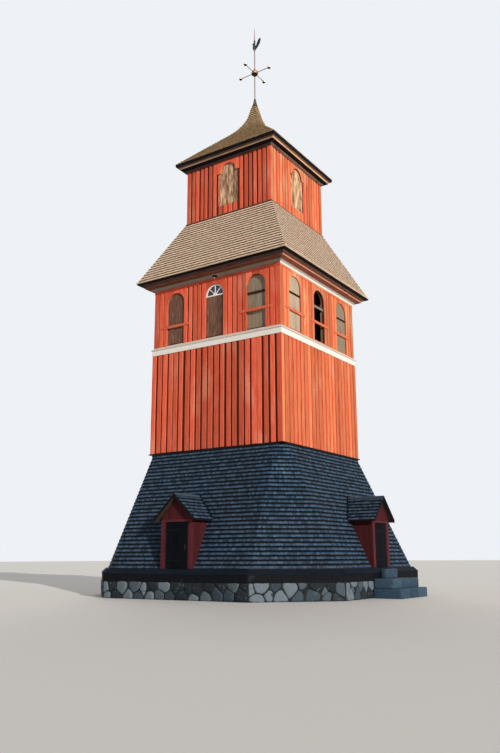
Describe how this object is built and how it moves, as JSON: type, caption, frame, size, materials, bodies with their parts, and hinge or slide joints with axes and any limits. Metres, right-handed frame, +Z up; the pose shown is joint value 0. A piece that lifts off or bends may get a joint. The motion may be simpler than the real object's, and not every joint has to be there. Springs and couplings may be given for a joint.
{
  "type": "wooden church bell tower",
  "caption": "Free-standing wooden church bell tower on a fieldstone base, with a shingled skirt, gabled door houses, arched belfry windows, swept roofs and a weathercock.",
  "frame": {"origin": "on the tower's vertical axis at ground level, in the middle of the stone base's foot", "axes": "+Z up, -Y out of the front face with the fanlight, +X out of the right face, where the stone steps are"},
  "size_m": [14.7, 13.42, 31.6195],
  "materials": {
    "fieldstone": "rough grey and pinkish fieldstones with dark joints",
    "step_stone": "rough hewn grey stone",
    "tarred_wood": "matt black tar",
    "skirt_shingles": "weathered tarred shingles, grey",
    "red_boards": "matt red distemper paint",
    "white_paint": "matt white paint",
    "grey_green_paint": "matt grey-green paint",
    "floor_boards": "bare aged boards",
    "weathered_boards": "bare weathered boards, brown to grey",
    "roof_shingles": "weathered shingles, grey-brown",
    "mossy_shingles": "weathered shingles with moss, yellow-brown",
    "window_glass": "dark clear glass",
    "cap_metal": "dark painted sheet",
    "black_iron": "black wrought iron"
  },
  "bodies": {
    "tower": {"belfry_drip_boards": "grey_green_paint", "belfry_floor": "floor_boards", "belfry_shutters": "weathered_boards", "belfry_wall_back": "red_boards", "belfry_wall_front": "red_boards", "belfry_wall_left": "red_boards", "belfry_wall_right": "red_boards", "door_pintles": "black_iron", "door_step_1": "step_stone", "door_step_2": "step_stone", "door_step_3": "step_stone", "drip_boards": "tarred_wood", "eaves_board": "red_boards", "eaves_edge": "tarred_wood", "eaves_soffit": "white_paint", "fanlight_frame": "white_paint", "fanlight_glass": "window_glass", "finial": "black_iron", "front_porch_cheeks": "red_boards", "front_porch_gable": "red_boards", "front_porch_posts": "red_boards", "front_porch_roof": "skirt_shingles", "ground_floor": "floor_boards", "lantern_cornice": "tarred_wood", "lantern_floor": "floor_boards", "lantern_shutters": "weathered_boards", "lantern_walls": "red_boards", "lower_skirting": "tarred_wood", "lower_wall_back": "red_boards", "lower_wall_front": "red_boards", "lower_wall_left": "red_boards", "lower_wall_right": "red_boards", "mid_roof": "roof_shingles", "open_shutters": "weathered_boards", "right_porch_cheeks": "red_boards", "right_porch_gable": "red_boards", "right_porch_posts": "red_boards", "right_porch_roof": "skirt_shingles", "sill_beams": "tarred_wood", "skirt_back": "skirt_shingles", "skirt_corners": "skirt_shingles", "skirt_front_over_door": "skirt_shingles", "skirt_front_sides": "skirt_shingles", "skirt_left": "skirt_shingles", "skirt_right_over_door": "skirt_shingles", "skirt_right_sides": "skirt_shingles", "spire_cap": "cap_metal", "stone_plinth": "fieldstone", "top_roof": "mossy_shingles", "white_cornice": "white_paint", "window_rails": "red_boards"},
    "front_door_leaf": {"front_door": "tarred_wood"},
    "right_door_leaf": {"right_door": "tarred_wood"},
    "vane": {"weathercock": "black_iron"}
  },
  "joints": [
    {"name": "front_door_hinge", "type": "hinge", "parent": "tower", "child": "front_door_leaf", "pos_m": [-0.425, -6.52, 1.26], "axis": [0, 0, -1], "range_deg": [0, 100]},
    {"name": "right_door_hinge", "type": "hinge", "parent": "tower", "child": "right_door_leaf", "pos_m": [6.52, -0.495, 1.26], "axis": [0, 0, -1], "range_deg": [0, 100]},
    {"name": "weathercock_swivel", "type": "hinge", "parent": "tower", "child": "vane", "pos_m": [0, 0, 30.2], "axis": [0, 0, 1], "continuous": true}
  ]
}
